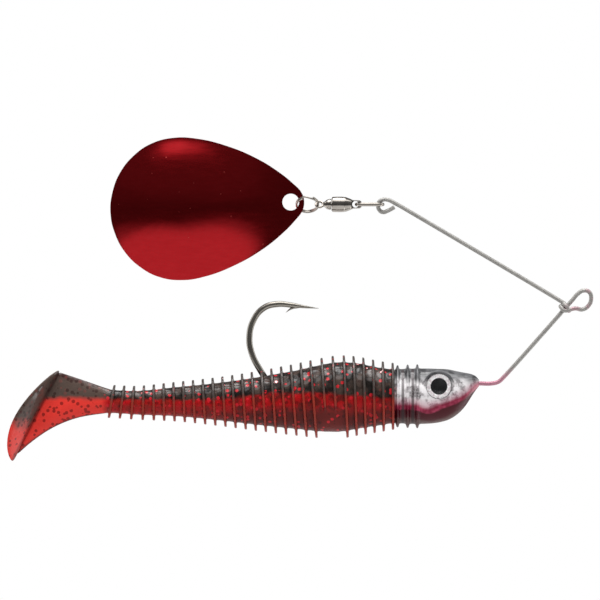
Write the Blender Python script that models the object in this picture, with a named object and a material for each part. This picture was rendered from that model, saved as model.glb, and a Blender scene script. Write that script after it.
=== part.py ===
"""Spinnerbait with a ribbed soft shad, built as an assembly of separate pieces.

The frame's origin is the centre of the line tie. +X points forwards, past the nose, +Z is up
and Y runs across the lure. Sizes below are in millimetres, and mm() turns them into metres.
"""

import math

import bmesh
import bpy
from mathutils import Matrix, Vector

# ---------------------------------------------------------------- driving dimensions, mm

GAP = 0.06  # between pieces that touch each other on the real lure

WIRE_R = 0.5  # spring-wire form
ARM_LOW_Z = -19.85  # height at which the wire leaves the nose
BEND_X = -20.0  # where the lower arm turns upwards
LOWER_ARM_DEG = 48.5
JUNCTION = (-3.6, -1.5)  # x and z where the two arms cross
WRAP_R = 2 * WIRE_R + 0.1  # centreline of the wrap around the lower arm

HOOK_R = 0.75
SHANK_Z = -22.3
HOOK_EYE = (-33.8, -20.0)
HOOK_EYE_R = 1.5

HEAD_FRONT_X = -24.5
HEAD_REAR_X = -44.65
COLLAR_RIDGES_X = (-43.9, -41.5, -39.2)
COLLAR_RIDGE_H = 1.0
EYE_X, EYE_Z = -34.1, -20.5
EYE_R = 3.0
EYE_SEAT_Y = 4.0
EYE_FOIL_T = 0.23
EYE_DOME_H = 1.1
SOCKET_R = 3.75
SOCKET_Y = 4.75

KEEPER_STEM_R, KEEPER_BARB_R, KEEPER_TIP_R = 2.0, 2.9, 1.4
KEEPER_BARBS_X = (-50.2, -53.2)
KEEPER_END_X = -56.0

RIB_COUNT = 29
RIB_TOP_X, RIB_PITCH = -111.2, 2.3275  # the rearmost rib's top, and the step to the next
WIDE_FROM, WIDE_TO, WIDER_BY = 20, 23, 0.32  # these ribs stand further apart
RIB_ROOT_T, RIB_TIP_T = 0.8, 0.55
BARE_BELLY_RIBS = (21, 22)  # these two stop half-way down the flank

TAIL_HINGE_X, TAIL_HINGE_R = -113.9, 1.6
PADDLE_TOP, PADDLE_FOOT = (-124.1, -16.9), (-135.3, -38.6)
PADDLE_HALF_W, PADDLE_SWEEP, PADDLE_T = 7.2, 4.1, 1.4

SWIVEL_Z = 22.75
ARM_EYE_X = -48.5  # leftmost point of the loop at the upper arm's end
RING_R, RING_HALF_W = 0.45, 1.6
CROSS_HOLE_X, CROSS_HOLE_R = -53.9, 0.78
BARREL_R, BARREL_LEFT_X = 1.85, -59.6
BALL_R, BALL_PITCH_R, BALL_COUNT = 0.35, 0.95, 7
SPINDLE_EYE_X, SPINDLE_EYE_R, SPINDLE_EYE_TUBE_R = -62.45, 0.86, 0.29
SPLIT_R, SPLIT_WIRE_R, SPLIT_TILT_DEG = 2.6, 0.22, 50

BLADE_HOLE = (-69.3, 23.3)
BLADE_HOLE_R = 2.0
BLADE_TILT_DEG = 3.5  # the round end hangs this much lower than the hole
BLADE_TIP = 3.2  # from the hole's centre to the tip
BLADE_CUP_AT, BLADE_CUP = 28.0, 4.8  # cup's deepest point from the hole, and its depth
BLADE_FLAT_TO = 22.0  # the cup starts flat at the tip and is full this far from it
BLADE_T = 0.7


# ---------------------------------------------------------------- general helpers


def mm(*values):
    """Millimetres to metres: a number for one value and a Vector for three."""
    scaled = [v * 0.001 for v in values]
    return scaled[0] if len(scaled) == 1 else Vector(scaled)


def material(name, colour, roughness, metallic, alpha=1.0):
    made = bpy.data.materials.new(name)
    made.use_nodes = True
    shader = made.node_tree.nodes["Principled BSDF"]
    shader.inputs["Base Color"].default_value = (*colour, 1.0)
    shader.inputs["Roughness"].default_value = roughness
    shader.inputs["Metallic"].default_value = metallic
    shader.inputs["Alpha"].default_value = alpha
    return made


def add(name, mesh, finish=None, parent=None, at=None):
    """An object with this mesh, which moves with parent. at is its origin's place."""
    made = bpy.data.objects.new(name, mesh)
    bpy.context.scene.collection.objects.link(made)
    if at is not None:
        mesh.transform(Matrix.Translation(-at))
        made.location = at
    if parent is not None:
        made.parent = parent
        made.matrix_parent_inverse = parent.matrix_world.inverted()
    if finish is not None:
        mesh.materials.append(finish)
        mesh.shade_smooth()
        mesh.set_sharp_from_angle(angle=math.radians(35))
    return made


def joint_empty(name, at, parent=None):
    """An empty on a joint's axis, which carries the pieces that the joint moves."""
    made = bpy.data.objects.new(name, None)
    bpy.context.scene.collection.objects.link(made)
    made.location = at
    bpy.context.view_layer.update()
    if parent is not None:
        made.parent = parent
        made.matrix_parent_inverse = parent.matrix_world.inverted()
        bpy.context.view_layer.update()
    return made


def boolean(target, other, operation):
    """Adds other to target or cuts it away, and keeps other only as a hidden helper."""
    other.hide_render = True
    other.display_type = "WIRE"
    step = target.modifiers.new(operation.title(), "BOOLEAN")
    step.operation = operation
    step.object = other
    step.solver = "EXACT"


def from_bmesh(name, bm, merge=1e-8):
    bmesh.ops.remove_doubles(bm, verts=bm.verts, dist=merge)
    bmesh.ops.recalc_face_normals(bm, faces=bm.faces)
    mesh = bpy.data.meshes.new(name)
    bm.to_mesh(mesh)
    bm.free()
    return mesh


def loft(name, sections):
    """A closed skin through rings of points, in millimetres, with both ends capped."""
    bm = bmesh.new()
    rings = [[bm.verts.new(mm(*p)) for p in ring] for ring in sections]
    count = len(rings[0])
    for near, far in zip(rings, rings[1:]):
        for i in range(count):
            j = (i + 1) % count
            bm.faces.new((near[i], near[j], far[j], far[i]))
    bm.faces.new(rings[0])
    bm.faces.new(rings[-1])
    return from_bmesh(name, bm)


def turned(name, profile, z, steps=20, hollow=False):
    """A profile of (x, radius) pairs spun about the X direction at height z."""
    bm = bmesh.new()
    verts = [bm.verts.new(mm(x, 0, z + r)) for x, r in profile]
    edges = [bm.edges.new(pair) for pair in zip(verts, verts[1:])]
    if hollow:
        edges.append(bm.edges.new((verts[-1], verts[0])))
    bmesh.ops.spin(
        bm,
        geom=verts + edges,
        cent=mm(0, 0, z),
        axis=(1, 0, 0),
        angle=math.tau,
        steps=steps,
        use_merge=True,
    )
    return from_bmesh(name, bm, merge=2e-6)


def cylinder(name, start, end, radius, sides=24):
    """A plain cylinder between two points."""
    bm = bmesh.new()
    along = mm(*end) - mm(*start)
    turn = along.to_track_quat("Z", "Y").to_matrix().to_4x4()
    place = Matrix.Translation((mm(*start) + mm(*end)) / 2) @ turn
    bmesh.ops.create_cone(
        bm,
        cap_ends=True,
        segments=sides,
        radius1=mm(radius),
        radius2=mm(radius),
        depth=along.length,
        matrix=place,
    )
    return from_bmesh(name, bm)


def box(name, low, high):
    bm = bmesh.new()
    size = Matrix.Diagonal(((mm(*high) - mm(*low)).to_4d()))
    size[3][3] = 1
    bmesh.ops.create_cube(bm, matrix=Matrix.Translation((mm(*high) + mm(*low)) / 2) @ size)
    return from_bmesh(name, bm)


def tube(name, points, radius, resolution=2, thickness=None, closed=False):
    """A round wire along points. thickness scales the radius at each point."""
    curve = bpy.data.curves.new(name, "CURVE")
    curve.dimensions = "3D"
    curve.bevel_depth = mm(radius)
    curve.bevel_resolution = resolution
    curve.use_fill_caps = not closed
    spline = curve.splines.new("POLY")
    spline.points.add(len(points) - 1)
    spline.use_cyclic_u = closed
    for i, (point, place) in enumerate(zip(spline.points, points)):
        point.co = (*mm(*place), 1)
        point.radius = thickness[i] if thickness else 1.0
    holder = bpy.data.objects.new(name, curve)
    bm = bmesh.new()
    bm.from_mesh(bpy.data.meshes.new_from_object(holder))
    bpy.data.objects.remove(holder)
    return from_bmesh(name, bm, merge=1e-7)


def smooth(points, steps):
    """Points along a Catmull-Rom curve through the given ones, steps to each span."""
    given = [Vector(p) for p in points]
    padded = [2 * given[0] - given[1], *given, 2 * given[-1] - given[-2]]
    made = []
    for a, b, c, d in zip(padded, padded[1:], padded[2:], padded[3:]):
        for i in range(steps):
            t = i / steps
            bend = (2 * a - 5 * b + 4 * c - d) * t + (3 * b - a - 3 * c + d) * t * t
            made.append(b + ((c - a) + bend) * t / 2)
    return [tuple(p) for p in made] + [tuple(given[-1])]


def polar(centre, radius, degrees, y=0.0):
    """A point on a circle in the XZ plane."""
    a = math.radians(degrees)
    return (centre[0] + radius * math.cos(a), y, centre[1] + radius * math.sin(a))


def interpolated(x, stations):
    """Smoothly interpolates the values that stations, {x: (values)}, give along X."""
    xs = sorted(stations)
    x = min(max(x, xs[0]), xs[-1])
    i = max(k for k in range(len(xs) - 1) if xs[k] <= x)
    t = (x - xs[i]) / (xs[i + 1] - xs[i])
    around = [stations[xs[min(max(i + k, 0), len(xs) - 1)]] for k in (-1, 0, 1, 2)]
    a, b, c, d = (Vector(v) for v in around)
    bend = (2 * a - 5 * b + 4 * c - d) * t + (3 * b - a - 3 * c + d) * t * t
    return b + ((c - a) + bend) * t / 2


def oval(x, middle_z, half_h, half_w, count, lean=0.0, power=2.2, proud=None):
    """A ring of points, round or slightly square, across X. proud(angle) stands it out."""
    ring = []
    for i in range(count):
        a = math.tau * i / count
        out = proud(a) if proud else 0.0
        c, s = math.cos(a), math.sin(a)
        y = (half_w + out) * math.copysign(abs(c) ** (2 / power), c)
        z = (half_h + out) * math.copysign(abs(s) ** (2 / power), s)
        ring.append((x + lean * z, y, middle_z + z))
    return ring


# ---------------------------------------------------------------- wire form


def wire_leg():
    """The wire's start: through the hook's eye, round to the middle plane and out of the nose."""
    eye_x, eye_z = HOOK_EYE
    side = 1.75
    return smooth(
        [
            (eye_x, -1.9, eye_z),
            (eye_x, 0.9, eye_z),
            (eye_x + 0.5, side, eye_z),
            (eye_x + 2.2, side, eye_z),
            (eye_x + 3.6, 0.6, ARM_LOW_Z),
            (eye_x + 5.2, 0.0, ARM_LOW_Z),
        ],
        4,
    )


def lower_bend():
    """The rounded corner in front of the nose, where the wire turns up to the line tie."""
    bend_r = 3.0
    setback = bend_r * math.tan(math.radians(LOWER_ARM_DEG / 2))
    centre = (BEND_X - setback, ARM_LOW_Z + bend_r)
    steps = 6
    return [polar(centre, bend_r, -90 + LOWER_ARM_DEG * i / steps) for i in range(steps + 1)]


def line_tie_loop():
    """Round the loop clockwise, from the lower arm back to the crossing in front of it."""
    return smooth(
        [
            (-2.1, 0, 0.2),
            (-1.1, 0, 1.35),
            (0.4, 0, 2.25),
            (1.75, 0, 1.85),
            (2.2, 0, 0.4),
            (1.6, -0.1, -1.3),
            (0.1, -0.3, -2.25),
            (-1.5, -0.7, -2.0),
        ],
        4,
    )


def line_tie_wrap():
    """A turn and a bit of the wire around the lower arm, which closes the line tie."""
    angle = math.radians(LOWER_ARM_DEG)
    along = Vector((math.cos(angle), 0, math.sin(angle)))
    out = Vector((-math.sin(angle), 0, math.cos(angle)))
    front = Vector((0, -1, 0))
    start, end, steps, turned_by = -1.25, 0.1, 17, math.radians(440)
    middle = Vector((JUNCTION[0], 0, JUNCTION[1]))
    made = []
    for i in range(steps + 1):
        phase = turned_by * i / steps
        round_arm = WRAP_R * (math.cos(phase) * front + math.sin(phase) * out)
        made.append(tuple(middle + along * (start + (end - start) * i / steps) + round_arm))
    return made


def arm_end_loop():
    """The open loop at the upper arm's end that the swivel's ring hangs in."""
    return smooth(
        [
            (-42.9, 0, 22.15),
            (-44.6, 0, 23.1),
            (-45.9, 0, 23.75),
            (-47.3, 0, 23.9),
            (-48.3, 0, 23.3),
            (ARM_EYE_X, 0, 22.4),
            (-48.2, 0, 21.4),
            (-47.3, 0, 20.9),
            (-46.3, 0, 21.2),
            (-44.6, 0, 22.1),
        ],
        4,
    )


def wire_path():
    return wire_leg() + lower_bend() + line_tie_loop() + line_tie_wrap() + arm_end_loop()


def make_wire_form(steel):
    return add("wire_form", tube("wire_form", wire_path(), WIRE_R), steel)


# ---------------------------------------------------------------- hook


def hook_path():
    """From the eye in the head along the shank and round the bend to the point."""
    shank_start = [(-36.6, 0, SHANK_Z + 0.15), (-38.4, 0, SHANK_Z), (-66.0, 0, SHANK_Z)]
    eye_steps = 12
    eye = [polar(HOOK_EYE, HOOK_EYE_R, 180 - 270 * i / eye_steps) for i in range(eye_steps + 1)]
    bend = smooth(
        [
            (-70.0, 0, -22.05),
            (-73.8, 0, -20.25),
            (-76.8, 0, -16.3),
            (-78.6, 0, -12.6),
            (-79.15, 0, -9.0),
            (-78.2, 0, -4.9),
            (-75.7, 0, -1.9),
            (-72.6, 0, -1.0),
            (-69.3, 0, -1.2),
            (-65.8, 0, -1.65),
            (-62.6, 0, -2.0),
        ],
        4,
    )
    return eye + shank_start + bend


def make_hook(steel):
    path = hook_path()
    taper_from = -69.5
    tip = 0.12

    def thick(p):
        if p[2] < -10 or p[0] < taper_from:
            return 1.0
        return max(tip, 1 - (p[0] - taper_from) / (path[-1][0] - taper_from))

    hook = add("hook", tube("hook", path, HOOK_R, thickness=[thick(p) for p in path]), steel)
    barb_path = [(-67.8, 0, -1.6), (-69.2, 0, -2.1), (-70.5, 0, -3.0)]
    barb = tube("hook_barb", barb_path, 0.32, thickness=[1.0, 0.75, 0.15])
    boolean(hook, add("hook_barb_helper", barb), "UNION")
    return hook


# ---------------------------------------------------------------- head

HEAD_STATIONS = {  # x: middle height, half height, half width
    HEAD_REAR_X: (-22.9, 6.4, 5.4),
    -42.4: (-22.9, 6.55, 5.55),
    -39.0: (-22.9, 6.65, 5.65),
    -36.0: (-22.85, 6.6, 5.6),
    -33.8: (-22.75, 6.4, 5.4),
    -31.7: (-22.5, 6.05, 5.0),
    -30.2: (-22.25, 5.45, 4.6),
    -28.8: (-21.8, 4.7, 4.1),
    -27.4: (-21.1, 3.75, 3.4),
    -26.0: (-20.1, 2.45, 2.4),
    -25.2: (-19.75, 1.65, 1.65),
    -24.5: (-19.75, 0.8, 0.8),
}


def keeper_profile(extra=0.0):
    """The barbed stub behind the head that grips the soft body, as (x, radius) pairs."""
    first, second = KEEPER_BARBS_X
    stem, barb = KEEPER_STEM_R + extra, KEEPER_BARB_R + extra
    return [
        (HEAD_REAR_X + 1.0, 0),
        (HEAD_REAR_X + 1.0, stem),
        (first + extra, stem),
        (first + extra, barb),
        (second + extra, stem),
        (second + extra, barb),
        (KEEPER_END_X - extra, KEEPER_TIP_R + extra),
        (KEEPER_END_X - extra, 0),
    ]


def make_head(painted):
    flats = sorted({*HEAD_STATIONS, -36.4, -32.0, *(x - 1.0 for x in COLLAR_RIDGES_X[1:])})
    sections = []
    for x in sorted([*flats, *COLLAR_RIDGES_X, COLLAR_RIDGES_X[-1] + 1.1]):
        middle, half_h, half_w = interpolated(x, HEAD_STATIONS)
        ridge = COLLAR_RIDGE_H if x in COLLAR_RIDGES_X else 0.0
        sections.append(oval(x, middle, half_h + ridge, half_w + ridge, 22))
    head = add("head", loft("head", sections), painted)
    boolean(head, add("keeper_helper", turned("keeper", keeper_profile(), SHANK_Z, 16)), "UNION")
    for side in (-1, 1):
        name = "left" if side < 0 else "right"
        socket = cylinder(
            "socket", (EYE_X, side * 2.2, EYE_Z), (EYE_X, side * SOCKET_Y, EYE_Z), SOCKET_R
        )
        boolean(head, add(f"socket_{name}_helper", socket), "UNION")
        seat = cylinder(
            "seat", (EYE_X, side * EYE_SEAT_Y, EYE_Z), (EYE_X, side * 8, EYE_Z), EYE_R + 0.08
        )
        boolean(head, add(f"seat_{name}_helper", seat), "DIFFERENCE")
    nose_run = [*wire_leg(), (HEAD_FRONT_X + 2.0, 0, ARM_LOW_Z)]
    wire_hole = tube("wire_hole", nose_run, WIRE_R + GAP)
    boolean(head, add("wire_hole_helper", wire_hole), "DIFFERENCE")
    in_head = [p for p in hook_path() if p[0] > -40] + [(-60.0, 0, SHANK_Z)]
    hook_hole = tube("hook_hole", in_head, HOOK_R + GAP)
    boolean(head, add("hook_hole_helper", hook_hole), "DIFFERENCE")
    return head


def make_eye(side, foil_finish, lens_finish):
    """A stick-on eye: a printed foil disc under a clear domed lens."""
    name = "left" if side < 0 else "right"
    seat = EYE_SEAT_Y + 0.02
    foil_top = seat + EYE_FOIL_T
    foil = cylinder(
        "foil", (EYE_X, side * seat, EYE_Z), (EYE_X, side * foil_top, EYE_Z), EYE_R, 28
    )
    add(f"eye_foil_{name}", foil, foil_finish)
    under = foil_top + 0.03
    rise = [0, 25, 50, 72]
    rings = [
        (EYE_R * math.cos(math.radians(a)), under + 0.12 + EYE_DOME_H * math.sin(math.radians(a)))
        for a in rise
    ]
    sections = [
        [
            (EYE_X + r * math.cos(t), side * y, EYE_Z + r * math.sin(t))
            for t in (math.tau * i / 28 for i in range(28))
        ]
        for r, y in [(EYE_R, under), *rings]
    ]
    add(f"eye_lens_{name}", loft("lens", sections), lens_finish)


# ---------------------------------------------------------------- soft body and tail

BODY_STATIONS = {  # x: middle height, half height, half width, height of the ribs
    -114.0: (-24.1, 2.85, 2.3, 1.1),
    -111.0: (-24.2, 2.75, 2.4, 1.2),
    -105.7: (-24.45, 2.85, 2.6, 1.2),
    -96.2: (-24.2, 3.5, 3.1, 1.25),
    -86.7: (-24.2, 4.45, 3.9, 1.35),
    -77.1: (-24.1, 5.7, 4.9, 1.45),
    -67.6: (-23.8, 7.0, 5.8, 1.6),
    -62.9: (-23.5, 7.8, 6.2, 1.6),
    -58.1: (-23.1, 8.3, 6.4, 1.6),
    -53.3: (-22.8, 7.8, 6.2, 1.6),
    -48.1: (-22.95, 6.9, 5.8, 1.6),
    -45.0: (-22.9, 6.45, 5.4, 1.5),
}
RIB_RAKE = {  # rib: how far its foot stands in front of its top, and a spare 0
    0: (-1.4, 0),
    4: (0.0, 0),
    10: (0.7, 0),
    16: (1.15, 0),
    20: (1.5, 0),
    23: (0.95, 0),
    28: (0.1, 0),
}


def rib_rake(k):
    """How far rib k's foot stands in front of its top."""
    return interpolated(k, RIB_RAKE)[0]


def body_ring(k, shift, share=0.0, count=14):
    """A section shifted along from rib k and raked like it, a share of the rib's height proud."""
    wider = WIDER_BY * (min(max(k, WIDE_FROM), WIDE_TO) - WIDE_FROM)
    x = RIB_TOP_X + RIB_PITCH * k + wider + rib_rake(k) / 2 + shift
    middle, half_h, half_w, rib_h = interpolated(x, BODY_STATIONS)
    lean = -rib_rake(k) / (2 * half_h + 2 * rib_h)

    def proud(angle):
        bare = k in BARE_BELLY_RIBS and math.sin(angle) < -0.35
        return 0.02 * share if bare else rib_h * share

    return oval(x, middle, half_h, half_w, count, lean=lean, proud=proud)


def make_soft_body(soft):
    root, tip = RIB_ROOT_T / 2, RIB_TIP_T / 2
    sections = [body_ring(0, -1.6)]
    for k in range(RIB_COUNT):
        sections += [
            body_ring(k, -root),
            body_ring(k, -tip, share=1.0),
            body_ring(k, tip, share=1.0),
        ]
        if k < RIB_COUNT - 1:
            sections.append(body_ring(k, root))
    body = add("soft_body", loft("soft_body", sections), soft)
    socket = turned("socket", keeper_profile(0.1), SHANK_Z, 16)
    boolean(body, add("keeper_socket_helper", socket), "DIFFERENCE")
    run = [(-55.0, 0, SHANK_Z)] + [p for p in hook_path() if p[0] < -60 and p[2] < -8]
    boolean(body, add("hook_slot_helper", tube("slot", run, HOOK_R + 0.1)), "DIFFERENCE")
    knuckle = cylinder(
        "knuckle", (TAIL_HINGE_X, 0, -40), (TAIL_HINGE_X, 0, -10), TAIL_HINGE_R + 0.1, 28
    )
    boolean(body, add("knuckle_slot_helper", knuckle), "DIFFERENCE")
    return body


WEB_TOP = [(-114.3, -20.6), (-117.1, -19.6), (-121.0, -18.35), (-125.1, -17.6)]
WEB_FOOT = [(-135.2, -37.6), (-131.4, -34.1), (-126.0, -30.4), (-120.0, -28.0), (-114.3, -27.1)]


def make_tail(soft, hinge):
    """The flat web behind the wrist, with the swept paddle across its end."""
    top = smooth([(x, 0, z) for x, z in WEB_TOP], 3)
    foot = smooth([(x, 0, z) for x, z in reversed(WEB_FOOT)], 3)
    steps = 9
    sections = []
    for i in range(steps + 1):
        share = i / steps
        a = Vector(top[round(share * (len(top) - 1))])
        b = Vector(foot[round(share * (len(foot) - 1))])
        half_w = 1.6 - 0.35 * share
        middle, half = (a + b) / 2, (a - b) / 2
        sections.append(
            [
                tuple(middle + half * math.sin(t) + Vector((0, half_w * math.cos(t), 0)))
                for t in (math.tau * j / 14 for j in range(14))
            ]
        )
    tail = add("soft_tail", loft("soft_tail", sections), soft, hinge)
    knuckle = cylinder(
        "knuckle", (TAIL_HINGE_X, 0, -26.9), (TAIL_HINGE_X, 0, -21.4), TAIL_HINGE_R, 20
    )
    boolean(tail, add("tail_knuckle_helper", knuckle), "UNION")
    boolean(tail, add("paddle_helper", paddle_mesh()), "UNION")
    return tail


def paddle_mesh():
    """A rounded plate across the tail's end, whose two sides sweep backwards."""
    top, foot = Vector((*PADDLE_TOP, 0)), Vector((*PADDLE_FOOT, 0))
    long_way = (foot - top).normalized()
    back = Vector((long_way.y, -long_way.x, 0))
    if back.x > 0:
        back.negate()
    length = (foot - top).length
    bm = bmesh.new()
    rows, columns = 12, 8
    skins = []
    for lift in (0.0, PADDLE_T):
        skin = []
        for i in range(rows + 1):
            share = i / rows
            down = (1 - math.cos(math.pi * share)) / 2
            half = PADDLE_HALF_W * max(math.sin(math.pi * share), 0.1) * (0.75 + 0.45 * down)
            along = top + long_way * length * down
            row = []
            for j in range(columns + 1):
                across = 2 * j / columns - 1
                y = half * across
                sweep = PADDLE_SWEEP * (abs(y) / PADDLE_HALF_W) ** 1.5
                place = along + back * (sweep + lift * (1 - 0.55 * across * across))
                row.append(bm.verts.new(mm(place.x, y, place.y)))
            skin.append(row)
        skins.append(skin)
    for skin in skins:
        for near, far in zip(skin, skin[1:]):
            for j in range(columns):
                bm.faces.new((near[j], near[j + 1], far[j + 1], far[j]))
    inner, outer = skins
    edge = [*((i, 0) for i in range(rows)), *((rows, j) for j in range(columns))]
    edge += [*((rows - i, columns) for i in range(rows)), *((0, columns - j) for j in range(columns))]
    for (i, j), (m, n) in zip(edge, edge[1:] + edge[:1]):
        bm.faces.new((inner[i][j], inner[m][n], outer[m][n], outer[i][j]))
    return from_bmesh("paddle", bm)


# ---------------------------------------------------------------- ball-bearing swivel


def make_arm_ring(nickel, carrier):
    """The solid ring that joins the arm's end loop to the swivel's barrel."""
    left = CROSS_HOLE_X + CROSS_HOLE_R - RING_R - 0.06
    right = ARM_EYE_X + WIRE_R + RING_R + 0.12
    turn_r = RING_HALF_W
    path = []
    steps = 10
    for centre_x, start in ((right - turn_r, -90), (left + turn_r, 90)):
        for i in range(steps + 1):
            a = math.radians(start + 180 * i / steps)
            path.append((centre_x + turn_r * math.cos(a), turn_r * math.sin(a), SWIVEL_Z))
    add("arm_ring", tube("arm_ring", path, RING_R, closed=True), nickel, carrier)


def make_barrel(nickel, carrier):
    """The swivel's barrel: a bearing chamber at one end and a cross hole at the other."""
    left = BARREL_LEFT_X
    bore_r, chamber_r = 0.62, 1.42
    profile = [
        (left, bore_r),
        (left, 1.5),
        (left + 0.25, BARREL_R - 0.05),
        (left + 1.2, BARREL_R),
        (left + 3.2, BARREL_R - 0.03),
        (left + 4.4, 1.4),
        (left + 5.1, 1.02),
        (left + 6.7, 0.98),
        (left + 7.15, 0.7),
        (left + 7.25, 0),
        (left + 3.15, 0),
        (left + 3.05, chamber_r),
        (left + 0.3, chamber_r),
        (left + 0.3, bore_r),
    ]
    shape = turned("swivel_barrel", profile, SWIVEL_Z, 20, hollow=True)
    barrel = add("swivel_barrel", shape, nickel, carrier)
    hole_ends = [(CROSS_HOLE_X, y, SWIVEL_Z) for y in (-3, 3)]
    boolean(barrel, add("cross_hole_helper", cylinder("hole", *hole_ends, CROSS_HOLE_R, 18)), "DIFFERENCE")
    for side in (-1, 1):
        corners = sorted([side * 0.6, side * 3])
        flat = box("flat", (-54.9, corners[0], 19), (-51, corners[1], 26))
        boolean(barrel, add(f"tongue_helper_{side + 1}", flat), "DIFFERENCE")
    washer = [(left + 0.34, 0.62), (left + 0.34, 1.36), (left + 0.56, 1.36), (left + 0.56, 0.62)]
    add("thrust_washer", turned("washer", washer, SWIVEL_Z, 20, hollow=True), nickel, carrier)


def make_balls(steel, carrier):
    ball_x = BARREL_LEFT_X + 0.6 + BALL_R
    for k in range(BALL_COUNT):
        a = math.tau * k / BALL_COUNT
        centre = mm(
            ball_x, BALL_PITCH_R * math.cos(a), SWIVEL_Z + BALL_PITCH_R * math.sin(a)
        )
        bm = bmesh.new()
        bmesh.ops.create_uvsphere(
            bm, u_segments=10, v_segments=7, radius=mm(BALL_R), matrix=Matrix.Translation(centre)
        )
        add(f"bearing_ball_{k + 1}", from_bmesh("ball", bm), steel, carrier)


def make_spindle(nickel, carrier):
    """The turning half of the swivel: flange, shaft, outer collar and eye."""
    flange = BARREL_LEFT_X + 0.64 + 2 * BALL_R
    collar = BARREL_LEFT_X - 0.08
    profile = [
        (flange + 0.6, 0),
        (flange + 0.6, 1.15),
        (flange, 1.25),
        (flange, 0.42),
        (collar, 0.42),
        (collar, 1.22),
        (collar - 0.25, 1.32),
        (collar - 0.9, 1.2),
        (collar - 1.6, 0.62),
        (collar - 2.0, 0.5),
        (collar - 2.0, 0),
    ]
    spindle = add("spindle", turned("spindle", profile, SWIVEL_Z, 18), nickel, carrier)
    tilt = Matrix.Rotation(math.radians(SPLIT_TILT_DEG), 3, "X")
    eye_steps = 18
    eye = []
    for i in range(eye_steps):
        a = math.tau * i / eye_steps
        flat = Vector((SPINDLE_EYE_R * math.cos(a), SPINDLE_EYE_R * math.sin(a), 0))
        eye.append(tuple(Vector((SPINDLE_EYE_X, 0, SWIVEL_Z)) + tilt @ flat))
    ring = tube("spindle_eye", eye, SPINDLE_EYE_TUBE_R, closed=True)
    boolean(spindle, add("spindle_eye_helper", ring), "UNION")


def split_ring_centre():
    """The ring's right end pulls on the left side of the spindle's eye."""
    hole_left = SPINDLE_EYE_X - SPINDLE_EYE_R + SPINDLE_EYE_TUBE_R
    return Vector((hole_left + SPLIT_WIRE_R + 0.05 - SPLIT_R, 0, SWIVEL_Z))


def make_split_ring(nickel, carrier):
    """Two turns of wire side by side, with one short step between them."""
    tilt = Matrix.Rotation(math.radians(SPLIT_TILT_DEG), 3, "X")
    step_deg, layer = 30, SPLIT_WIRE_R + 0.02
    turn_deg = 360 - step_deg
    count = 56
    path = []
    for i in range(count + 1):
        degrees = -turn_deg + 2 * turn_deg * i / count
        a = math.radians(degrees + 90)
        side = layer * max(-1, min(1, degrees / (step_deg / 2)))
        flat = Vector((SPLIT_R * math.cos(a), side, SPLIT_R * math.sin(a)))
        path.append(tuple(split_ring_centre() + tilt @ flat))
    add("split_ring", tube("split_ring", path, SPLIT_WIRE_R, resolution=1), nickel, carrier)


# ---------------------------------------------------------------- blade

BLADE_OUTLINE = [  # distance from the tip and half width, tip to round end
    (0.0, 0.0),
    (0.55, 2.2),
    (2.4, 4.4),
    (5.6, 7.3),
    (10.6, 10.8),
    (17.7, 14.25),
    (24.8, 16.4),
    (30.0, 16.9),
    (35.3, 15.9),
    (39.6, 13.4),
    (43.2, 9.5),
    (45.3, 5.0),
    (46.1, 0.0),
]


def make_blade(red, carrier):
    """An egg-shaped cupped plate, convex towards -Y, with the ring's hole at its tip."""
    half = smooth([(s, w, 0) for s, w in BLADE_OUTLINE], 2)
    outline = [(s, w) for s, w, _ in half] + [(s, -w) for s, w, _ in half[-2:0:-1]]
    tilt = math.radians(BLADE_TILT_DEG)
    down = Vector((-math.cos(tilt), 0, -math.sin(tilt)))
    up = Vector((-math.sin(tilt), 0, math.cos(tilt)))
    hole = Vector((BLADE_HOLE[0], 0, BLADE_HOLE[1]))
    shares = (0.2, 0.4, 0.58, 0.74, 0.88, 1.0)

    def point(share, s, w, lift):
        along = BLADE_CUP_AT + (s - BLADE_TIP - BLADE_CUP_AT) * share
        rise = min(max((along + BLADE_TIP) / BLADE_FLAT_TO, 0), 1)
        depth = BLADE_CUP * (1 - share**2) ** 1.15 * rise * rise * (3 - 2 * rise)
        return hole + down * along + up * w * share + Vector((0, lift - depth, 0))

    bm = bmesh.new()
    skins = []
    for lift in (-BLADE_T / 2, BLADE_T / 2):
        rings = [
            [bm.verts.new(mm(*point(share, s, w, lift))) for s, w in outline] for share in shares
        ]
        middle = bm.verts.new(mm(*point(0.0, 0, 0, lift)))
        skins.append(rings)
        count = len(outline)
        for i in range(count):
            bm.faces.new((middle, rings[0][i], rings[0][(i + 1) % count]))
        for near, far in zip(rings, rings[1:]):
            for i in range(count):
                j = (i + 1) % count
                bm.faces.new((near[i], near[j], far[j], far[i]))
    front, back = skins[0][-1], skins[1][-1]
    for i in range(len(front)):
        j = (i + 1) % len(front)
        bm.faces.new((front[i], front[j], back[j], back[i]))
    blade = add("blade", from_bmesh("blade", bm), red, carrier)
    hole_ends = [(BLADE_HOLE[0], y, BLADE_HOLE[1]) for y in (-6, 4)]
    boolean(blade, add("blade_hole_helper", cylinder("hole", *hole_ends, BLADE_HOLE_R, 24)), "DIFFERENCE")


# ---------------------------------------------------------------- assembly


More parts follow.
